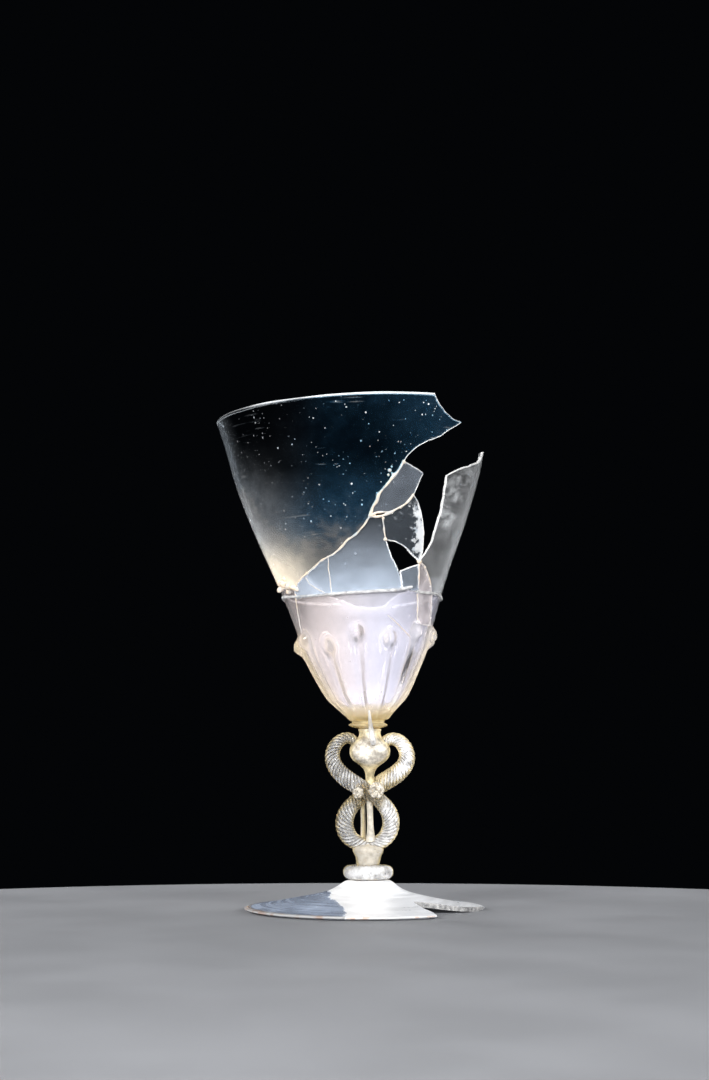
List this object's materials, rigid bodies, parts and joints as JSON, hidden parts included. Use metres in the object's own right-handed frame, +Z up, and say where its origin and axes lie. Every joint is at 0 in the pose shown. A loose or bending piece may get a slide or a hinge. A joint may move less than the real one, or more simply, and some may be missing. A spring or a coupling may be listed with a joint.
{
  "type": "broken serpent-stem wine glass",
  "caption": "Old wine glass on a twisted serpent stem and low conical foot, its tall conical bowl glued from sherds with the back and one side lost and a wedge gone from the foot.",
  "frame": {"origin": "on the table under the middle of the whole glass's bounding box; the stem's axis stands 6 mm towards +X and 3.3 mm towards +Y of it", "axes": "+Z up along the stem; -Y towards the surviving front wall of the bowl; +X towards the side strip and the break in the foot; the bowl leans 2.7 degrees towards -X"},
  "size_m": [0.0894, 0.086, 0.1648],
  "materials": {
    "clear_glass": "thin blown glass, clear with seed bubbles and fine scratches",
    "clouded_glass": "blown glass clouded milky white by weathering",
    "stem_glass": "thick straw-tinted glass with ribbed, pitted surface",
    "foot_glass": "thin blown glass, bluish white weathering film",
    "adhesive": "aged cream conservation adhesive"
  },
  "bodies": {
    "root": {"rim_sherd": "clear_glass", "small_sherd": "clear_glass", "leaf_sherd": "clear_glass", "centre_sherd": "clear_glass", "chip_sherd": "clear_glass", "lower_bowl": "clouded_glass", "corner_sherd": "clouded_glass", "sliver_sherd": "clouded_glass", "side_sherd": "clouded_glass", "bowl_thread_left": "stem_glass", "bowl_thread_right": "stem_glass", "merese": "stem_glass", "knop": "stem_glass", "serpent_cane": "stem_glass", "front_trail": "stem_glass", "prunt_left": "stem_glass", "prunt_right": "stem_glass", "front_strut": "stem_glass", "back_strut": "stem_glass", "post": "stem_glass", "collar": "stem_glass", "foot": "foot_glass", "seam_main": "adhesive", "seam_small": "adhesive", "seam_leaf": "adhesive", "seam_sliver_left": "adhesive", "seam_sliver_right": "adhesive", "adhesive_lump": "adhesive"}
  },
  "joints": []
}
